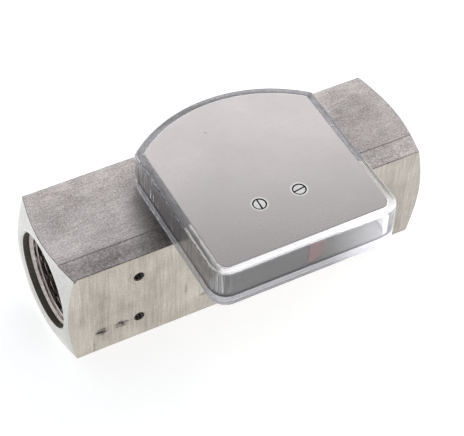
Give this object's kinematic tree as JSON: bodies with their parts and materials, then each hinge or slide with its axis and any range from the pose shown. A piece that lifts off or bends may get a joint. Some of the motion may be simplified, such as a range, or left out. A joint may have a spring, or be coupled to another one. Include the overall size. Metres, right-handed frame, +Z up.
{
  "type": "variable area flow meter",
  "caption": "Square-bar all-metal variable area flow meter with female pipe threads at both ends, an inner float and a D-shaped clear-walled pointer housing.",
  "frame": {"origin": "middle of the bar's underside, the flat face that it rests on", "axes": "+X along the bar in the direction of flow, from inlet to outlet; +Y away from the housing's flat front; +Z up, from the bar to the indicator housing"},
  "size_m": [0.2, 0.1061, 0.0825],
  "materials": {
    "stainless": "ground",
    "stainless_inner": "turned",
    "spring_steel": "satin",
    "bright_steel": "polished",
    "zinc_steel": "satin",
    "aluminium_plate": "satin",
    "clear_plastic": "gloss",
    "black_rubber": "matte",
    "white_silicone": "matte",
    "black_polymer": "matte",
    "white_polymer": "matte",
    "magnet": "matte",
    "brass": "turned",
    "white_enamel": "satin",
    "red_enamel": "satin"
  },
  "bodies": {
    "meter": {"body_block": "stainless", "inlet_guide": "stainless_inner", "outlet_guide": "stainless_inner", "metering_liner": "stainless_inner", "liner_o_ring": "black_rubber", "retaining_ring": "spring_steel", "guide_rod": "stainless_inner", "inlet_nut": "stainless_inner", "outlet_nut": "stainless_inner", "inlet_stop_washer": "white_polymer", "outlet_stop_washer": "white_polymer", "base_plate": "aluminium_plate", "base_screws": "zinc_steel", "cover_ring": "clear_plastic", "lower_gasket": "black_rubber", "upper_gasket": "white_silicone", "top_plate": "aluminium_plate", "left_plate_screw": "bright_steel", "right_plate_screw": "bright_steel", "left_post": "bright_steel", "right_post": "bright_steel", "post_screws": "zinc_steel", "lower_bearing": "brass", "upper_bearing": "brass", "scale_strip": "white_enamel", "stop_pins": "bright_steel"},
    "float": {"float_body": "stainless_inner", "float_nose": "stainless_inner", "float_magnet": "magnet", "nose_bush": "white_polymer", "tail_bush": "white_polymer"},
    "pointer": {"pointer_spindle": "bright_steel", "pointer_hub": "brass", "pointer_arm": "red_enamel", "magnet_clip": "black_polymer", "follower_magnet": "magnet", "pointer_tail": "red_enamel"}
  },
  "joints": [
    {"name": "float_slide", "type": "slide", "parent": "meter", "child": "float", "axis": [1, 0, 0], "range_m": [-0.01425, 0.03076]},
    {"name": "pointer_turn", "type": "hinge", "parent": "meter", "child": "pointer", "pos_m": [0.006, -0.043, 0.07], "axis": [0, 0, 1], "range_deg": [-41, 19]}
  ],
  "couplings": [
    {"joint": "pointer_turn", "follows": "float_slide", "rad_per_m": -23.256}
  ]
}
